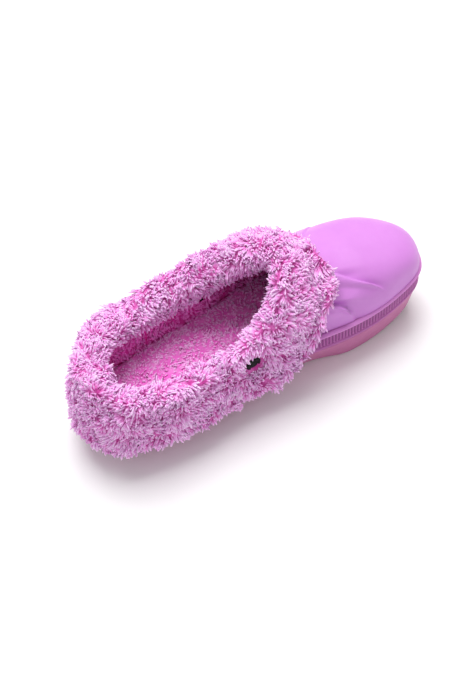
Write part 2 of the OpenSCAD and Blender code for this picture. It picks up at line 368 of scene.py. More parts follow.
def flare_height(u, s):
    """Height of the flares: a cubic in the station gives each ridge's place up the rib.

    Above it, rise * exp(-(distance / slope)^2). Below it, an S-curve steps from the rise down to
    minus the fall, which fades by exp(-(distance / width)^2).
    """
    height = np.zeros(u.shape)
    for side, share in ((u, 1.0), (AROUND - u, OUTER_FLARES)):
        for places, rise, fall, width in FLARES:
            at, up = np.array(places).T
            ridge = np.polyval(np.polyfit(at - at[0], up, 3), side - at[0])
            step = (rise + fall) * ease((s - ridge + FLARE_STEP) / FLARE_STEP) - fall
            above = rise * np.exp(-(((s - ridge) / FLARE_SLOPE) ** 2))
            below = step * np.exp(-(((ridge - s) / width) ** 2))
            span = at[-1] - at[0]
            ends = ease((side - at[0]) / (0.4 * span))
            ends = ends * ease((at[-1] + 0.03 - side) / (0.22 * span))
            height = height + share * np.where(s > ridge, above, below) * ends
    return height


def fullness(u, s):
    """The toe box's swelling: 1.9 mm at the band, 3 mm half way up, fading before the cuff."""
    front = ease((u - 4.4) / 1.4) * ease((11.6 - u) / 1.4)
    hem = np.interp(u, HEMS[:, 0], HEMS[:, 1])
    swell = 1.9 * (1 - s) ** 2 + 2.5 * np.sin(math.pi * np.clip(s, 0, 1)) ** 1.3
    return front * swell * ease((hem - s + 0.03) / 0.22)


def hollow(u, s):
    """Dish, 1.2 mm deep, in the side wall under the second flare: a round bell curve."""
    return 1.2 * sum(np.exp(-(((side - 11.35) / 0.5) ** 2) - ((s - 0.30) / 0.22) ** 2)
                     for side in (u, AROUND - u))


def rubber_wall():
    """Loops of the upper, closest at the toe: up the outside with its flares, down the inside."""
    around = np.concatenate([
        np.arange(0, 4, 1 / 12), np.arange(4, 12, 1 / 48), np.arange(12, 16, 1 / 12)])
    u, s = grid(around, np.linspace(0, 1, 176))
    raised = fullness(u, s) + flare_height(u, s) - hollow(u, s)
    outside = upper(u, s) - raised[..., None] * into(u, s)
    u, s = grid(around, np.linspace(1, 0, 10))
    inside = upper(u, s) + WALL * into(u, s)
    inside[:, -1, 2] = outside[:, 0, 2]
    return np.concatenate([outside, inside], 1)


loops = rubber_wall()
piece("moulded_upper", loops, loop_faces(*loops.shape[:2], True), "clog",
      upper_finish, ["upper_shell"])

# %% [markdown]
# ## The ribbed band
#
# The band hides the joint between upper and sole. Its face carries fine upright
# ribs under three millimetres apart, between a round bead above and a plain lip
# below. Ribs must be evenly spaced along the band, not along the stations, so
# the outline is first measured and the stations are looked up by distance. The
# mesh carries each point's depth in a groove, and the finish paints shade into
# the grooves by that; on the bead, where the number is below 0, it paints a
# highlight.

# %% Even spacing, then the band's profile
RIB_PITCH, RIB_DEPTH, RIB_POINTS = 2.7, 1.3, 8


def by_distance(count):
    """Stations of count points spread evenly round the outline, and the outline's length."""
    u = np.linspace(0, AROUND, 4001)
    p = outline(u)
    run = np.concatenate([[0], np.cumsum(np.linalg.norm(np.diff(p, axis=0), axis=1))])
    return np.interp(np.arange(count) / count * run[-1], run, u), run[-1]


girth = by_distance(1)[1]
RIBS = int(round(girth / RIB_PITCH))
band_u = by_distance(RIBS * RIB_POINTS)[0]
print("the band is", round(girth), "mm round and has", RIBS, "ribs")
BAND_PROFILE = np.array([  # inset, share of the height, how much of a rib (-1 on the bead)
    (6.0, 0.00, 0), (1.3, 0.00, 0), (0.5, 0.03, 0), (0.0, 0.08, 0), (-0.2, 0.16, 0),
    (0.1, 0.205, 0), (0.9, 0.225, 0), (1.2, 0.245, 0.4), (1.2, 0.28, 1), (1.3, 0.48, 1),
    (1.5, 0.70, 1), (1.6, 0.85, 0.6), (1.3, 0.87, 0), (-0.3, 0.885, -1), (-1.0, 0.905, -1),
    (-1.2, 0.93, -1), (-0.9, 0.965, -1), (0.0, 0.99, -1), (1.0, 1.0, -1), (2.6, 1.01, 0),
    (6.0, 1.01, 0)])


def ribbed_band():
    """Each loop is the profile. Ribs are a rounded wave in the inset, faint at the toe's tip."""
    turn = np.arange(len(band_u)) / RIB_POINTS * 2 * math.pi
    rib = ((0.5 + 0.5 * np.cos(turn)) ** 0.7)[:, None]
    tip = (1 - 0.8 * np.exp(-(((band_u - 8.35) / 0.30) ** 2)))[:, None]
    inset, share, ribbed = BAND_PROFILE.T
    u = np.repeat(band_u[:, None], len(BAND_PROFILE), 1)
    inset = inset - RIB_DEPTH * rib * tip * np.maximum(ribbed, 0)
    z = BAND_FOOT + GAP + (BAND_TOP - BAND_FOOT - GAP) * share
    # depth down each groove, painted as shade; -1 on the bead, painted as a highlight
    depth = np.where(ribbed > 0, 1 - rib, 1) * ribbed
    return edge(u, inset, np.broadcast_to(z, u.shape)), depth


def carry(mesh, name, values):
    """Writes one number per point, for the finish to read."""
    written = mesh.attributes.new(name, "FLOAT", "POINT")
    written.data.foreach_set("value", values.astype(np.float32).ravel())


loops, groove = ribbed_band()
clog_band = piece("ribbed_band", loops, loop_faces(*loops.shape[:2], True), "clog",
                  band_finish, ["foxing_band"])
carry(clog_band.data, "groove", groove)

# %% [markdown]
# ## The sole
#
# The sole is a thick block that steps in towards the ground, hollowed on the
# inner side under the arch, with straight grooves across the tread. Its side is
# a stack of rings. The tread is a second grid that runs from the outer edge to
# the inner edge, pressed up wherever a groove or a sipe crosses it.

# %% Rings closed by two sheets
def sheet_across(ring, count):
    """Points between a ring's two halves: each straight line across in count places, less ends."""
    half = len(ring) // 2
    share = np.linspace(0, 1, count)[1:-1, None]
    return ring[1:half, None] * (1 - share) + ring[:half:-1, None] * share


def closed_rings(rings, low, top):
    """A stack of rings closed by a sheet below and above: points, faces, the top's quads."""
    count, columns = rings.shape[:2]
    k, i = np.meshgrid(np.arange(count - 1), np.arange(columns), indexing="ij")
    a, d = k * columns + i, k * columns + (i + 1) % columns
    faces = np.stack([a, a + columns, d + columns, d], -1).reshape(-1, 4).tolist()
    j = np.arange(1, columns // 2)[:, None]
    first = count * columns
    for sheet, ring in ((low, 0), (top, (count - 1) * columns)):
        inside = first + np.arange(sheet.size // 3).reshape(sheet.shape[:2])
        rows = np.concatenate([ring + j, inside, ring + columns - j], 1)
        quads = np.stack([rows[:-1, :-1], rows[:-1, 1:], rows[1:, 1:], rows[1:, :-1]], -1)
        quads = quads.reshape(-1, 4)
        ends = [[ring, *rows[0, ::-1].tolist()], [ring + columns // 2, *rows[-1].tolist()]]
        if ring == 0:
            quads, ends = quads[:, ::-1], [end[::-1] for end in ends]
        faces += quads.tolist() + ends
        first += sheet.size // 3
    return np.concatenate([p.reshape(-1, 3) for p in (rings, low, top)]), faces, quads


# %% Side rings and tread
TREAD_BLOCKS = ((22, 75), (160, 200))  # heel and ball, from and to
GROOVE_PITCH, GROOVE_DEPTH = 13, 2.5
SIPE_PITCH, SIPE_DEPTH = 4.33, 0.8
SIDE_HEIGHTS = np.array([0, 0.25, 0.8, 1.6, 3, 6, 10, 14, 18, 21, 22.5, 24, 25.4, BAND_FOOT])
SIDE_INSETS = np.interp(SIDE_HEIGHTS, [0, 0.8, 3, 22, 24, BAND_FOOT], [7, 6, 5.2, 1.6, 1, 0.8])


def arch(u):
    """Depth of the hollow under the arch, 6 mm: an S-curve in and an S-curve out."""
    return 6 * (ease((u - 10.9) / 0.8) - ease((u - 12.2) / 1.0))


def sole_ring(u, inset, z):
    """One ring of the sole's side: its inset, and the arch's hollow fading out upwards."""
    return edge(u, inset + arch(u) * (1 - z / BAND_FOOT), z)


def tread_height(x, y):
    """Height pressed into the tread: straight grooves, and shallow wavy sipes between them."""
    height = np.zeros(x.shape)
    wave = np.abs(((x + 1.2 * np.sin(y / 3.2)) / SIPE_PITCH) % 1 - 0.5)
    for first, last in TREAD_BLOCKS:
        for start in np.arange(first, last, GROOVE_PITCH):
            groove = ease((2.0 - np.abs(x - start - 1.5)) / 0.8)
            height = np.maximum(height, GROOVE_DEPTH * groove)
        inside = ease((x - first + 9) / 3) * ease((last + 12 - x) / 3)
        height = np.maximum(height, SIPE_DEPTH * inside * ease((0.12 - wave) / 0.08))
    return height


def sole_block(columns=768, across=56):
    """Side rings, the tread with its edge left plain, and a flat top."""
    u = np.arange(columns) / columns * AROUND
    side = np.stack([sole_ring(u, inset, np.full(columns, z))
                     for inset, z in zip(SIDE_INSETS, SIDE_HEIGHTS)])
    tread = sheet_across(side[0], across)
    share = np.linspace(0, 1, across)[1:-1]
    margin = ease(np.minimum(share, 1 - share) * 20)
    tread[..., 2] += tread_height(tread[..., 0], tread[..., 1]) * margin
    return closed_rings(side, tread, sheet_across(side[-1], across))


points, faces, _ = sole_block()
piece("grooved_sole", points, faces, "clog", sole_finish, ["outsole"])

# %% [markdown]
# ## Fleece, and why it is planted
#
# Sherpa fleece is knitted cloth with a deep pile. The pile is felted into short
# curved locks, pale at the tip, and the locks lean together in small clumps. Here
# they turn deep pink towards the root, partly the pile's own colour and partly
# painted shade where the locks shade one another. Blender could grow hair for
# this, but hair leaves no surface behind for a printed or exported model. Each
# lock here is a small three-sided horn, planted on a base that is a little
# thinner than the finished cuff, so that most tips end near the imported model's
# surface.
#
# The slow random drift that soft things have comes from a sum of waves, which
# is smooth, seeded, and costs almost nothing.

# %% Drift, surface directions, and the places of the locks
def drift(p, size, seed):
    """Smooth random field, about -1 to 1: nine sine waves in random directions, summed, over 4."""
    rng = np.random.default_rng(seed)
    way = unit(rng.normal(size=(9, 3))) * 2 * math.pi / size * rng.uniform(0.6, 1.5, (9, 1))
    return np.sin(p @ way.T + rng.uniform(0, 6.28, 9)).sum(-1) / 4


def swirl(p, size, seed):
    """Three drifts as a vector, so a direction that turns slowly from place to place."""
    return np.stack([drift(p, size, seed + k) for k in range(3)], -1)


def along_surface(v, normal):
    """v without its part along the normal."""
    return v - normal * (v * normal).sum(-1, keepdims=True)


def scatter(points, quads, spacing, seed):
    """Random places on the quads, at most one in each cube of the spacing, and their normals."""
    rng = np.random.default_rng(seed)
    corner = points[np.concatenate([quads[:, [0, 1, 2]], quads[:, [0, 2, 3]]])]
    one, two = corner[:, 1] - corner[:, 0], corner[:, 2] - corner[:, 0]
    across = np.cross(one, two)
    area = np.linalg.norm(across, axis=1) / 2
    tries = rng.choice(len(area), int(area.sum() / spacing**2 * 3), p=area / area.sum())
    r = rng.random((2, len(tries), 1))
    r = np.where(r.sum(0) > 1, 1 - r, r)
    at = corner[tries, 0] + r[0] * one[tries] + r[1] * two[tries]
    _, first = np.unique(np.floor(at / spacing + rng.random(3)), axis=0, return_index=True)
    return at[first], unit(across[tries[first]])


def cell_random(at, size, seed):
    """A centre and three random numbers, shared by all places in the same warped cube."""
    rng = np.random.default_rng(seed)
    warped = at + 0.35 * size * swirl(at, 3 * size, seed)
    cell, which = np.unique(np.floor(warped / size), axis=0, return_inverse=True)
    which = which.reshape(-1)
    centre = (cell + rng.uniform(0.2, 0.8, cell.shape)) * size
    return centre[which], rng.random((len(cell), 3))[which]


# %% The locks
LOCK_T = np.array([0.0, 0.42, 0.84, 1.0])  # where the three rings and the tip are
LOCK_WIDTH = np.array([0.80, 1.0, 0.92])  # of the three rings
ROOT_DEPTH = 0.6  # how deep a lock starts in its base
TUFT = 2.6  # clumps gather again into tufts this many times as wide
LONERS = 0.3  # share of locks that do not gather


def lock_ways(at, normal, comb, stand, clump, seed, rng):
    """Each lock's direction at the root, the way it bends, and its clump's three numbers."""
    centre, mood = cell_random(at, clump, seed)
    tuft, lean = cell_random(at, TUFT * clump, seed + 50)
    gather = 0.6 * (centre - at) / clump + 0.55 * (tuft - at) / (TUFT * clump)
    gather = along_surface(gather, normal)
    gather = gather * np.where(rng.random((len(at), 1)) < LONERS, 0.05, 1.0)
    way = unit(stand * normal + comb + 0.45 * gather + 0.7 * (mood - 0.5) + 0.55 * (lean - 0.5)
               + rng.normal(0, 0.16, at.shape))
    bend = (0.45 * comb + 0.75 * gather - 0.6 * (mood - 0.5) + rng.normal(0, 0.24, at.shape)
            - 0.45 * normal)
    return way, bend, mood


def locks(at, normal, comb, length, width, seed, stand, clump, tone):
    """Three-sided horns: out by the normal, over by the comb, in towards the clump's centre.

    A lock's middle line is root + length * (t * direction + t^2 / 2 * bend). Gives points, quads,
    triangles, along (0 root, 1 tip), shade, across, and soft normals: a lock's own, leaning to the
    surface's where it faces out, as light spreads through fibres.
    """
    rng = np.random.default_rng(seed)
    way, bend, mood = lock_ways(at, normal, comb, stand, clump, seed, rng)
    long = length * (0.72 + 0.35 * mood[:, 2] + rng.uniform(-0.18, 0.18, len(at)))
    t = LOCK_T[None, :, None]
    line = t * way[:, None] + t**2 * bend[:, None] * 0.5
    middle = (at - ROOT_DEPTH * normal)[:, None] + long[:, None, None] * line
    side = unit(np.cross(way, normal + rng.normal(0, 0.4, at.shape)))
    flat = unit(np.cross(way, side))
    turn = np.arange(3)[:, None] / 3 * 2 * math.pi
    ring = np.cos(turn) * side[:, None] + 0.55 * np.sin(turn) * flat[:, None]
    wide = (width * (0.8 + 0.45 * rng.random(len(at))))[:, None, None, None]
    body = middle[:, :3, None] + wide / 2 * LOCK_WIDTH[:, None, None] * ring[:, None]
    points = np.concatenate([body.reshape(len(at), 9, 3), middle[:, 3:]], 1)
    own = unit(np.broadcast_to(ring[:, None], body.shape) + 1e-6).reshape(len(at), 9, 3)
    soft = np.concatenate([own, 0.7 * way[:, None]], 1)
    faces_out = (soft * normal[:, None]).sum(-1, keepdims=True)
    soft = unit(soft + ease((faces_out + 0.35) / 0.9) * normal[:, None])
    along = np.tile(np.append(np.repeat(LOCK_T[:3], 3), 1.0), len(at))
    shade = 0.5 + tone + 0.45 * (mood[:, 1] - 0.5) + 0.22 * drift(at, 11, seed + 9)
    shade = np.clip(shade + rng.normal(0, 0.14, len(at)), 0.02, 0.98)
    across = np.tile(np.array([0, 1, 2, 0, 1, 2, 0, 1, 2, 1]) / 2, len(at))
    k = np.arange(3)
    k2 = (k + 1) % 3
    walls = [np.stack([row + k, row + k2, row + 3 + k2, row + 3 + k], -1) for row in (0, 3)]
    first = np.arange(len(at))[:, None, None] * 10
    quads = (np.concatenate(walls) + first).reshape(-1, 4)
    tips = (np.stack([6 + k, 6 + k2, np.full(3, 9)], -1) + first).reshape(-1, 3)
    return (points.reshape(-1, 3), quads, tips, along, np.repeat(shade, 10), across,
            soft.reshape(-1, 3))


# %% [markdown]
# ## The fleece finish
#
# Every lock carries two numbers: how far along it a point is, and its own
# shade. The colour is looked up from those alone, from a dark root to a pale
# tip, so clumps differ from one another the way dyed pile does. The dark root is
# partly the pile's own colour and partly painted shade at the base of the pile.
# The same two numbers are written as a small palette map, which keeps the
# colours when the model is exported. Fibres glow at grazing angles, so the
# finish has a sheen.

# %% Fleece finish
LOW_STOP, HIGH_STOP = 0.28, 0.66  # where the two middle colours stand between root and tip


def fleece(name, root, low, high, tip):
    """Colour by height in the pile, shifted by each lock's shade; matte, with a soft sheen."""
    made, tree, out = new_finish(name)
    lean = remap(tree, carried(tree, "shade"), 0.0, 1.0, -0.24, 0.20)
    reach = node(tree, "ShaderNodeMath", {"operation": "ADD", "use_clamp": True},
                 i0=carried(tree, "along"), i1=lean).outputs[0]
    ramp = node(tree, "ShaderNodeValToRGB", None, Fac=reach)
    stops = ramp.color_ramp.elements
    # the root colour is partly painted shade at the base of the pile, partly the pile's own deep
    # pink
    stops[0].position, stops[0].color = 0.0, root
    stops[1].position, stops[1].color = 1.0, tip
    for place, colour in ((LOW_STOP, low), (HIGH_STOP, high)):
        stops.new(place).color = colour
    skin = node(tree, "ShaderNodeBsdfPrincipled", None, Base_Color=ramp.outputs["Color"],
                Roughness=0.92, Specular_IOR_Level=0.15, Sheen_Weight=0.06, Sheen_Roughness=0.45,
                Sheen_Tint=linear(255, 214, 250), Subsurface_Weight=0.12,
                Subsurface_Radius=(1.0, 0.40, 0.80), Subsurface_Scale=0.003)
    tree.links.new(skin.outputs[0], out.inputs["Surface"])
    return made


cuff_finish = fleece("cuff_fleece", linear(188, 64, 148), linear(240, 134, 214),
                     linear(252, 184, 246), linear(255, 214, 255))
# the lining is a deeper, more saturated copy of the cuff's fleece: painted shade for the dim inside
shaded_lining_finish = fleece("lining_fleece", linear(214, 50, 156), linear(232, 88, 190),
                       linear(244, 130, 216), linear(250, 164, 234))
bed_finish = fleece("footbed_fleece", linear(232, 104, 200), linear(242, 136, 218),
                    linear(250, 170, 236), linear(254, 194, 248))
print("three fleece finishes are ready")


# %% A fleece piece: base and locks in one mesh
def fleece_piece(name, points, faces, plant_on, comb, finish, replaces, spacing, length,
                 width, seed, stand, clump, tone=0.0):
    """One mesh of base and locks. comb(places, normals) gives the lean, length(places) the size."""
    at, normal = scatter(points, plant_on, spacing, seed)
    hairs, quads, tips, along, shade, across, soft = locks(
        at, normal, comb(at, normal), length(at), width, seed, stand, clump, tone)
    start = len(points)
    shell = as_lists(faces) + (quads + start).tolist() + (tips + start).tolist()
    made = piece(name, np.concatenate([points, hairs]), shell, "clog", finish, replaces)
    rng = np.random.default_rng(seed + 1)
    # the base takes root colours: painted shade between the locks, with the pile's own deep pink
    base_along = 0.04 + 0.10 * rng.random(start)
    base_shade = np.clip(0.5 + 0.3 * drift(points, 9, seed) + 0.1 * rng.random(start), 0.02, 0.98)
    along = np.concatenate([base_along, along])
    shade = np.concatenate([base_shade, shade])
    across = np.concatenate([rng.random(start), across])
    mesh = made.data
    carry(mesh, "along", along)
    carry(mesh, "shade", shade)
    palette = mesh.uv_layers.new(name="OFBake")
    corner = np.empty(len(mesh.loops), np.int32)
    mesh.loops.foreach_get("vertex_index", corner)
    uv = np.stack([0.03 + 0.93 * shade + 0.006 * across, 0.04 + 0.92 * along], -1)
    palette.data.foreach_set("uv", uv[corner].astype(np.float32).ravel())
    plain = np.empty(len(mesh.vertices) * 3, np.float32)
    mesh.vertex_normals.foreach_get("vector", plain)
    normals = np.concatenate([plain.reshape(-1, 3)[:start], soft])
    mesh.normals_split_custom_set_from_vertices(normals.tolist())
    print(name, "has", len(at), "locks")
    return made


def even(length):
    """A length that is the same everywhere, as a function of the places."""
    return lambda at: np.full(len(at), length)


# %% [markdown]
# ## The cuff
#
# The liner's upper edge rolls out over the collar and hangs down the outside:
# past the band at the heel and sides, and only a little way over the vamp at the
# front. Its section is a plump roll and then a flap that is pulled in at the
# waist, where the snaps pinch it. Fifteen points make the section, a smooth
# curve runs through them, and the base is sunk below that surface by the depth
# of the pile. Slow drift makes it lumpy, it is pinched at its two seams, and a
# crease runs back from each snap.

# %% The cuff's section
THICK = 12.5
ROLL = np.array([  # out from the upper and beyond its edge, in thicknesses
    [-0.80, 0.03], [-1.02, 0.38], [-0.92, 0.80], [-0.52, 1.12], [0.02, 1.24], [0.56, 1.08],
    [0.92, 0.62]])
FLAP = np.array([1.05, 1.06, 0.98, 0.80, 0.76, 0.88, 0.92, 0.40])  # in thicknesses, collar to hem
FLAP_PLUMP = np.array([0.8, 0.8, 0.8, 0.7, 0.6, 0.4, 0.25, 0.1])  # share of the roll's plumpness
SNAPS = (("outer", 3.36), ("inner", 12.64))  # name and station
SNAP_UP = 0.42  # place up the rib
snap_at = {name: upper(np.array(u), np.array(SNAP_UP)) for name, u in SNAPS}


def drape(u, s):
    """Inner face of the flap, clear of the upper, then 2 mm outside the band; and the way out."""
    u, s = np.broadcast_arrays(u, s)
    over = np.maximum(s, 0)
    clear = 2 * GAP + 3.9 * ease((0.5 - over) / 0.35)
    on = upper(u, over) - clear[..., None] * into(u, over)
    foot = BAND_TOP + GAP
    p = outline(u) - 2 * inward(u)
    z = foot + s * (foot - HEM) + lift(p[..., 0]) * (1 + s)
    below = np.concatenate([p, z[..., None]], -1)
    away = np.concatenate([-inward(u), np.zeros(u.shape + (1,))], -1)
    held = (s > -0.001)[..., None]
    return np.where(held, on, below), np.where(held, -into(u, over), away)


def flap_place(u, w):
    """Where the flap is, w of the way from collar to hem: a straight line on the upper."""
    reach = curve(HEMS - np.stack([np.arange(AROUND), np.zeros(AROUND)], -1), u)
    end = u + reach[..., 0]
    return u * (1 - w) + end * w, 1 - w + np.maximum(reach[..., 1], -1) * w


def on_roll(u, out, beyond):
    """A point by the collar's edge: out from the upper, and beyond the edge along the rib."""
    outward, onward = -into(u, 1.0), along_rib(u, 1.0)
    return upper(u, 1.0) + out[..., None] * outward + beyond[..., None] * onward
    return upper(u, 1.0) - out[..., None] * into(u, 1.0) + beyond[..., None] * along_rib(u, 1.0)


def plump(u):
    """How much fatter the roll is than its plain section: the outer side is fluffed up."""
    return 1 + 0.90 * ease((u - 0.7) / 2.0) * ease((7.9 - u) / 1.9)


def reach_in(u):
    """How much further the roll leans in at the back of the heel, where the foot presses it."""
    return 1 + 0.75 * np.exp(-((np.minimum(u, AROUND - u) / 1.1) ** 2))


def cuff_front(u):
    """Fifteen points of the outer face for each station, from lining to hem, and thickness ways.

    The thickness points away from the middle of the roll, or away from the drape. The outer flap
    stays thin where the snap pinches it.
    """
    uu, out = grid(u, ROLL[:, 0] * THICK)
    out = np.where(out < 0, out * reach_in(uu), out * plump(uu))
    roll = on_roll(uu, out, ROLL[:, 1] * THICK * plump(uu))
    round_it = unit(roll - on_roll(uu, 0 * out, 0 * out + 0.35 * THICK))
    uu, w = grid(u, np.arange(1, 9) / 8)
    inner, away = drape(*flap_place(uu, w))
    pinched = 1 - np.exp(-(((uu - SNAPS[0][1]) / 0.75) ** 2))
    fat = 1 + (plump(uu) - 1) * FLAP_PLUMP * pinched
    flap = inner + (FLAP * THICK * fat)[..., None] * away
    return np.concatenate([roll, flap], 1), np.concatenate([round_it, away], 1)


def cuff_back(u):
    """The inner face: across the collar's edge, then down the drape."""
    uu, out = grid(u, WALL * np.linspace(-1, 0, 7) + 2 * GAP * np.linspace(0, 1, 7))
    top = on_roll(uu, out, np.full(uu.shape, 1.5 * GAP))
    uu, w = grid(u, np.arange(1, 17) / 16)
    return np.concatenate([top, drape(*flap_place(uu, w))[0]], 1)


def smooth_rows(rows, count):
    """count points on the smooth open curve through each row's points."""
    n = rows.shape[1]
    before, after = 2 * rows[:, :1] - rows[:, 1:2], 2 * rows[:, -1:] - rows[:, -2:-1]
    padded = np.concatenate([before, rows, after], 1)
    t = np.linspace(0, n - 1, count)
    i = np.minimum(t.astype(int), n - 2)
    a, b, c, d = (padded[:, i + k] for k in range(4))
    return cubic(a, b, c, d, (t - i)[None, :, None])


# %% The sunk base: pile depth, lumps, seams, creases and dimples
PILE = 6.6
FACE_POINTS = 64  # points from hem to lining
SEAM_DEPTH, CREASE_DEPTH, DIMPLE_DEPTH = 2.2, 7.5, 5.0
ROOM = (np.arange(15) / 14, np.concatenate([np.full(7, 10.0), FLAP * THICK]))  # depth there is


def creased(u, w):
    """The crease across the flap: a narrow bell at 0.67 of the way down, from the snaps back."""
    line = np.exp(-(((w - 0.67 - 0.02 * np.sin(u * 5)) / 0.04) ** 2))
    inner = ease((u - 12.25) / 0.3) * ease((14.9 - u) / 1.2)
    outer = ease((u - 1.1) / 1.2) * ease((3.75 - u) / 0.3)
    return line * (inner + 0.8 * outer)


def dimple(face, centre):
    """The dimple round a snap, on its own side: an S-curve of distance, longer upwards."""
    off = face - centre
    apart = np.hypot(off[..., 0], off[..., 2] * np.where(off[..., 2] > 0, 0.72, 1))
    return ease((14 - apart) / 7) * (face[..., 1] * centre[1] > 0)


def cuff_base(u):
    """The outer face moved in along the thickness by the sum of these, where there is room."""
    rows, thick_way = cuff_front(u)
    face = smooth_rows(rows, FACE_POINTS)[:, ::-1]
    thick_way = unit(smooth_rows(thick_way, FACE_POINTS)[:, ::-1])
    uu, w = grid(u, np.linspace(1, 0, FACE_POINTS))
    sink = PILE * (0.45 + 0.55 * ease((1 - w) / 0.14))
    sink = sink - 1.4 * drift(face, 32, 3) - 1.0 * drift(face, 14, 4)
    heel_seam = np.exp(-((np.minimum(uu, AROUND - uu) / 0.16) ** 2))
    toe_seam = 0.6 * np.exp(-(((uu - 8) / 0.10) ** 2))
    sink = sink + SEAM_DEPTH * (heel_seam + toe_seam) * ease((0.9 - w) / 0.3)
    sink = sink + CREASE_DEPTH * creased(uu, w)
    for centre in snap_at.values():
        sink = sink + DIMPLE_DEPTH * dimple(face, centre) * ease((w - 0.25) / 0.2)
    lining_side = 0.25 + 0.75 * ease((w - 0.01) / 0.10)
    sink = np.minimum(sink * lining_side, 0.78 * np.interp(w, *ROOM))
    return face - sink[..., None] * thick_way


# %% The cuff's pile
DOWN = np.array([0.0, 0.0, -1.0])
CUFF_LOCK, SHORTEST = 6.2, 0.30  # a lock's length, and the share left of it beside a snap
CAP_CLEAR = 7.6  # no lock grows nearer to a snap's centre


def cuff_comb(at, normal):
    """Locks lean down the flap and away from the opening, turning slowly this way and that."""
    turning = along_surface(swirl(at, 34, 21), normal)
    return 0.40 * along_surface(DOWN, normal) + 0.48 * turning


def beside_snap(at, centre, rise=0.0):
    """Distance in x and z from just above a snap's centre, endless on the clog's other side."""
    apart = np.linalg.norm((at - centre - [0, 0, rise])[:, [0, 2]], axis=-1)
    return np.where(at[:, 1] * centre[1] > 0, apart, np.inf)


def cuff_length(at):
    """Locks are 6.2 mm long, and shorter by the snaps and a little above them."""
    size = np.full(len(at), CUFF_LOCK)
    for centre in snap_at.values():
        size = size * (SHORTEST + (1 - SHORTEST) * ease((beside_snap(at, centre, 2.5) - 8.5) / 5))
    return size


def keep_off_snaps(points, quads):
    """Quads whose first corner is well clear of the caps, so that no lock grows through one."""
    clear = [beside_snap(points[quads[:, 0]], centre) > CAP_CLEAR for centre in snap_at.values()]
    return quads[np.all(clear, axis=0)]


# %% Both halves of the cuff
for side, first, last, seed in (("outer", 0.02, 7.98, 101), ("inner", 8.02, 15.98, 202)):
    u = np.linspace(first, last, 200)
    loops = np.concatenate([cuff_base(u), smooth_rows(cuff_back(u), 20)], 1)
    points = loops.reshape(-1, 3)
    faces = loop_faces(*loops.shape[:2], False)
    grown = strip_of(faces, *loops.shape[:2], 0, FACE_POINTS - 1)
    fleece_piece(f"turned_cuff_{side}", points, faces, keep_off_snaps(points, grown), cuff_comb,
                 cuff_finish, [f"cuff_{side}_half"], spacing=1.1,
                 length=cuff_length, width=1.95, seed=seed, stand=0.40, clump=3.6)

# %% [markdown]
# ## The lining and the footbed
#
# Inside, the fleece covers the walls and the footbed. Its pile is shorter and
# flatter than the cuff's, pressed by the foot. The walls' fleece is painted a
# deeper, more saturated pink than the cuff's: painted shade for the dim inside of
# the clog. The walls follow the upper's own formula, moved inwards, and the
# footbed fills the plate between them.

# %% Lining walls
BOARD = 3  # thickness of the insole board
WALL_PILE = 3.4  # how far the base is sunk below the lining's face
FLOOR = BAND_FOOT + GAP + BOARD + GAP
WALL_ROWS, BELOW = 34, (0, 0.3, 0.6)  # points up the wall, and more below the upper's foot


def lining_face(u, depth):
    """The upper's surface moved in by depth, and carried straight down to the insole board."""
    uu, s = grid(u, np.linspace(0, 1, WALL_ROWS))
    wall = upper(uu, s) + depth * into(uu, s)
    steps = []
    for share in BELOW:
        level = wall[:, 0].copy()
        level[:, 2] = FLOOR + (BAND_TOP - FLOOR) * share + lift(level[:, 0])
        steps.append(level)
    wall[:, 0, 2] = BAND_TOP + GAP + lift(wall[:, 0, 0])
    return np.concatenate([np.stack(steps, 1), wall], 1)


def wall_comb(at, normal):
    """Locks pressed downwards along the wall, with a slow swirl."""
    return 0.45 * along_surface(DOWN, normal) + 0.45 * swirl(at, 20, 41)


for name, first, last, node_name, seed, finish_slot, spacing in (
        ("lining_wall_outer", 0.015, 5, "lining_outer_side", 303, "lining_fleece", 1.6),
        ("lining_wall_inner", 11, 15.985, "lining_inner_side", 404, "lining_fleece", 1.6),
        ("lining_toe", 5.02, 10.98, "toe_lining", 505, "toe_fleece", 2.1)):
    u = np.linspace(first, last, 150)
    outside = lining_face(u, WALL + GAP)
    inside = lining_face(u, WALL + GAP + LINING - WALL_PILE)
    uu, s = grid(u, np.full(inside.shape[1], 0.5))
    inside = inside + (0.7 * drift(inside, 16, 7))[..., None] * into(uu, s)
    loops = np.concatenate([outside, inside[:, ::-1]], 1)
    points = loops.reshape(-1, 3)
    faces = loop_faces(*loops.shape[:2], False)
    rows = inside.shape[1]
    grown = strip_of(faces, *loops.shape[:2], rows, 2 * rows - 1)
    # tone -0.05 darkens the lining's locks a little more: painted shade
    fleece_piece(name, points, faces, grown, wall_comb, shaded_lining_finish, [node_name],
                 spacing=spacing, length=even(4.2), width=2.0, seed=seed, stand=0.55, clump=3.4,
                 tone=-0.05)

# %% Footbed
BED_RINGS = ((1.5, 0.0), (0.0, 0.0), (0.0, 1.6), (0.5, 3.0), (1.6, 3.9))  # inset and height


def footbed_pad(columns=360, across=44):
    """Side rings, a flat underside, and a top that is dished by up to 1.3 mm and lumpy."""
    u = np.arange(columns) / columns * AROUND
    inset = LEDGE + WALL + GAP + LINING - WALL_PILE + GAP
    side = np.stack([edge(u, np.full(columns, inset + i), np.full(columns, FLOOR + z))
                     for i, z in BED_RINGS])
    top = sheet_across(side[-1], across)
    share = np.linspace(0, 1, across)[1:-1]
    bowl = 4 * share * (1 - share)
    top[..., 2] += (0.6 * drift(top, 18, 8) - 1.3 * ease(bowl * 1.2)) * ease(bowl * 3)
    return closed_rings(side, sheet_across(side[0], across), top)


def bed_comb(at, normal):
    """Locks lie towards the toe, pressed by the foot, in slow swirls."""
    return 0.7 * swirl(at, 16, 61) * [1, 1, 0.2] + [0.2, 0, 0]


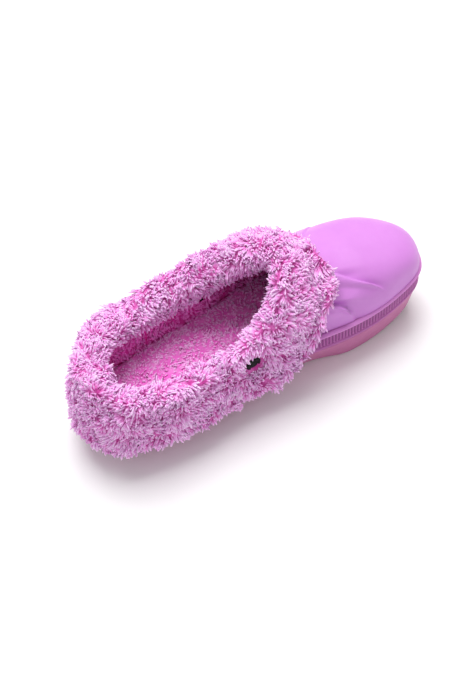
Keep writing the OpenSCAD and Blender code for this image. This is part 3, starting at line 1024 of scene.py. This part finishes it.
points, faces, top = footbed_pad()
fleece_piece("fleece_footbed_pad", points, faces, top, bed_comb, bed_finish,
             ["fleece_footbed"], spacing=1.6, length=even(3.4), width=1.9, seed=606, stand=0.55,
             clump=3.2, tone=0.05)

# %% [markdown]
# ## Snaps, posts and the insole board
#
# Each snap is a black moulded cap with a flat face, a rolled rim and a shallow
# ring pressed into it. A cap is turned round its own axis, so its surface is a
# profile spun in equal steps. The posts behind the caps and the foam board under
# the footbed have the right shape already, so they stay as the model has them
# and only get finishes.

# %% Caps, posts and board
black = moulded_rubber("snap_plastic", (0.004, 0.003, 0.005, 1), (0.007, 0.005, 0.008, 1), 0.5,
                       grain=0.6, specular=0.15)
foam = moulded_rubber("board_foam", linear(206, 200, 206), linear(188, 182, 190), 0.75, grain=2.2)
CAP_PROFILE = np.array([  # radius and height from the cap's foot: rim, face, pressed ring, bore
    (2.08, 0.0), (5.2, 0.0), (5.75, 0.15), (5.98, 0.6), (6.0, 1.4), (5.95, 2.3), (5.7, 2.9),
    (5.2, 3.3), (4.6, 3.5), (4.2, 3.45), (3.9, 3.2), (3.6, 3.05), (3.2, 3.05), (2.9, 3.2),
    (2.5, 3.35), (1.6, 3.45), (0.7, 3.5), (0.0, 3.5), (0.0, 2.6), (1.6, 2.6), (2.08, 2.5),
    (2.08, 1.2)])
CAP_STEPS = 72
CAP_STANDS = 1.9  # from the upper's face to the cap's foot


def spun_cap(centre, out):
    """The profile spun round the snap's axis: height along y, radius and angle in x and z."""
    turn = np.arange(CAP_STEPS) / CAP_STEPS * 2 * math.pi
    radius, height = CAP_PROFILE.T
    x = centre[0] + np.cos(turn)[:, None] * radius
    z = centre[2] + np.sin(turn)[:, None] * radius
    y = np.broadcast_to(centre[1] + out * (CAP_STANDS + height), x.shape)
    return np.stack([x, y, z], -1)


for name, centre in snap_at.items():
    out = 1 if name == "outer" else -1
    loops = spun_cap(centre, out)
    faces = loop_faces(*loops.shape[:2], True)[:, ::out]
    cap = piece(f"push_snap_{name}", loops, faces, f"{name}_cap", black,
                [f"snap_cap_{name}"])
    shape = bmesh.new()
    shape.from_mesh(cap.data)
    bmesh.ops.remove_doubles(shape, verts=shape.verts, dist=1e-6)
    bmesh.ops.recalc_face_normals(shape, faces=shape.faces)
    shape.to_mesh(cap.data)
    shape.free()

for node_name, finish in (("snap_post_outer", black), ("snap_post_inner", black),
                          ("insole_board", foam)):
    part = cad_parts[node_name]
    part.data.materials.clear()
    part.data.materials.append(finish)
    print(node_name, "keeps its shape and gets", finish.name)

# %% [markdown]
# ## Floor, light and camera
#
# The clog stands on a plain white floor in soft daylight: a wide panel overhead,
# a little to the far side, fills the top of the toe and the cuff, and the side
# nearest the camera is left to the pale surroundings, so it falls one step
# darker. The camera looks down from above the heel's inner side. Its place is
# an azimuth, an elevation and a distance from one point in the clog, turned
# slightly about its own axis, and a long lens keeps the shape honest.

# %% Floor and light
FLOOR_DROP = 0.0004  # just under the sole, so that the two faces never meet
floor_mesh = bpy.data.meshes.new("studio_floor")
floor_mesh.from_pydata([(-6, -6, 0), (6, -6, 0), (6, 6, 0), (-6, 6, 0)], [], [(0, 1, 2, 3)])
floor = bpy.data.objects.new("studio_floor", floor_mesh)
floor.location.z = -FLOOR_DROP
bpy.context.scene.collection.objects.link(floor)
paper, tree, out = new_finish("studio_floor")
skin = node(tree, "ShaderNodeBsdfPrincipled", None, Base_Color=(0.93, 0.93, 0.93, 1), Roughness=0.9)
tree.links.new(skin.outputs[0], out.inputs["Surface"])
floor.data.materials.append(paper)

sky = bpy.data.worlds.new("studio")
sky.use_nodes = True
sky.node_tree.nodes["Background"].inputs["Color"].default_value = (1.0, 1.0, 1.0, 1)
sky.node_tree.nodes["Background"].inputs["Strength"].default_value = 0.58
bpy.context.scene.world = sky
bpy.context.scene.view_settings.view_transform = "Standard"


def panel(name, place, aim, size, power):
    """A square area light of the given side, in watts, turned so that it faces its aim."""
    lamp = bpy.data.lights.new(name, "AREA")
    lamp.size = size
    lamp.energy = power
    made = bpy.data.objects.new(name, lamp)
    bpy.context.scene.collection.objects.link(made)
    made.location = place
    made.rotation_euler = (Vector(aim) - Vector(place)).to_track_quat("-Z", "Y").to_euler()


panel("overhead_panel", (0.25, 0.75, 2.2), (0.0, 0.0, 0.04), size=1.6, power=52)
print("one panel and a pale sky over a plain floor")

# %% Camera
AZIMUTH, ELEVATION, TILT = math.radians(58.9), math.radians(52.6), math.radians(-3.2)
LOOKS_AT, DISTANCE = Vector((0.011, 0.0, 0.035)), 0.6809
level = math.cos(ELEVATION)
back = Vector((-math.cos(AZIMUTH) * level, -math.sin(AZIMUTH) * level, math.sin(ELEVATION)))
right = Vector((0, 0, 1)).cross(back).normalized()
up = back.cross(right)
turned_right = right * math.cos(TILT) + up * math.sin(TILT)
turned_up = up * math.cos(TILT) - right * math.sin(TILT)
eye = LOOKS_AT + back * DISTANCE
lens = bpy.data.cameras.new("studio_camera")
lens.sensor_fit = "HORIZONTAL"
lens.sensor_width = 36
lens.lens = 69.04
lens.shift_x = -0.0624
lens.shift_y = -0.0536
lens.clip_start = 0.01
camera = bpy.data.objects.new("studio_camera", lens)
bpy.context.scene.collection.objects.link(camera)
axes = Matrix((turned_right, turned_up, back)).transposed()
camera.matrix_world = Matrix.Translation(eye) @ axes.to_4x4()
bpy.context.scene.camera = camera
print("the camera stands at", [round(value, 3) for value in eye], "m")

# %% [markdown]
# ## The last step
#
# The fleece may stand a little proud of the imported model, but only a little.

# %% Bring the scene up to date
bpy.context.view_layer.update()
